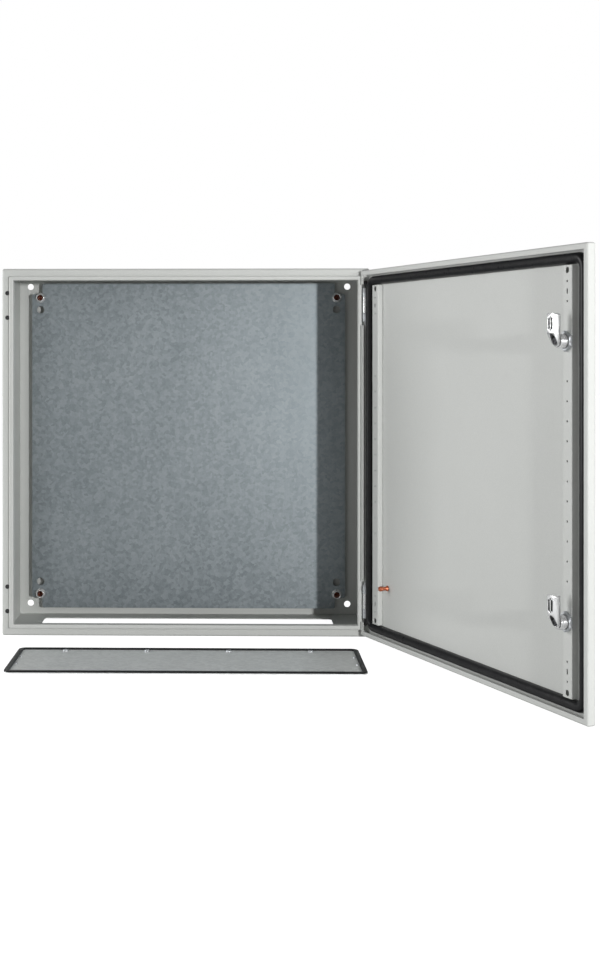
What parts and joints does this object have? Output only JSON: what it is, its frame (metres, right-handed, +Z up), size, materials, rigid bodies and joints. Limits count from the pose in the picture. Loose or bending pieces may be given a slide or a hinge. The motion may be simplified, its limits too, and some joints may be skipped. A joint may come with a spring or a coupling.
{
  "type": "steel wall enclosure",
  "caption": "Shallow square sheet-steel wall cabinet with a hinged gasketed door, cam locks, a galvanised mounting plate and a removable gland plate for the floor opening.",
  "frame": {"origin": "centre of the wall-fixing hole pattern on the rear outer face", "axes": "+Z up, +Y towards the wall (out of the rear face), +X to the right seen from the front; hinges on the +X side"},
  "size_m": [0.8176, 0.7491, 0.6],
  "materials": {
    "body_paint": "textured",
    "galvanised": "spangled zinc",
    "zinc_plate": "satin",
    "bright_chrome": "polished",
    "copper_plate": "satin",
    "gasket_foam": "matte",
    "plug_plastic": "satin",
    "dark_screw": "blackened"
  },
  "bodies": {
    "enclosure": {"enclosure_frame": "body_paint", "rear_panel": "body_paint", "plate_studs": "copper_plate", "stud_sleeves": "zinc_plate", "mounting_plate": "galvanised", "plate_nuts": "zinc_plate", "hinge_hole_plugs": "plug_plastic", "upper_hinge_knuckles": "zinc_plate", "lower_hinge_knuckles": "zinc_plate", "upper_hinge_pin": "zinc_plate", "lower_hinge_pin": "zinc_plate", "upper_hinge_cap": "plug_plastic", "lower_hinge_cap": "plug_plastic", "hinge_screws": "zinc_plate"},
    "door": {"door_shell": "body_paint", "door_gasket": "gasket_foam", "hinge_side_rail": "body_paint", "lock_side_rail": "body_paint", "door_earth_stud": "copper_plate", "upper_hinge_bracket": "bright_chrome", "lower_hinge_bracket": "bright_chrome", "upper_lock_housing": "bright_chrome", "upper_lock_seal": "gasket_foam", "upper_lock_nut": "zinc_plate", "lower_lock_housing": "bright_chrome", "lower_lock_seal": "gasket_foam", "lower_lock_nut": "zinc_plate"},
    "upper_lock": {"upper_lock_spindle": "zinc_plate", "upper_lock_cam": "bright_chrome", "upper_cam_screw": "dark_screw"},
    "lower_lock": {"lower_lock_spindle": "zinc_plate", "lower_lock_cam": "bright_chrome", "lower_cam_screw": "dark_screw"},
    "loose_gland_plate": {"gland_plate": "galvanised", "gland_gasket": "gasket_foam", "gland_nuts": "zinc_plate", "gland_rivets": "zinc_plate"}
  },
  "joints": [
    {"name": "door_hinge", "type": "hinge", "parent": "enclosure", "child": "door", "pos_m": [0.292, -0.201, 0], "axis": [0, 0, 1], "range_deg": [-112, 8]},
    {"name": "upper_lock_turn", "type": "hinge", "parent": "door", "child": "upper_lock", "pos_m": [0.49597, -0.70585, 0.175], "axis": [0.9272, 0.3746, 0], "range_deg": [0, 90]},
    {"name": "lower_lock_turn", "type": "hinge", "parent": "door", "child": "lower_lock", "pos_m": [0.49597, -0.70585, -0.175], "axis": [0.9272, 0.3746, 0], "range_deg": [0, 90]},
    {"name": "gland_plate_slide", "type": "slide", "parent": "enclosure", "child": "loose_gland_plate", "axis": [0, -1, 0], "range_m": [0, 0.35]}
  ]
}
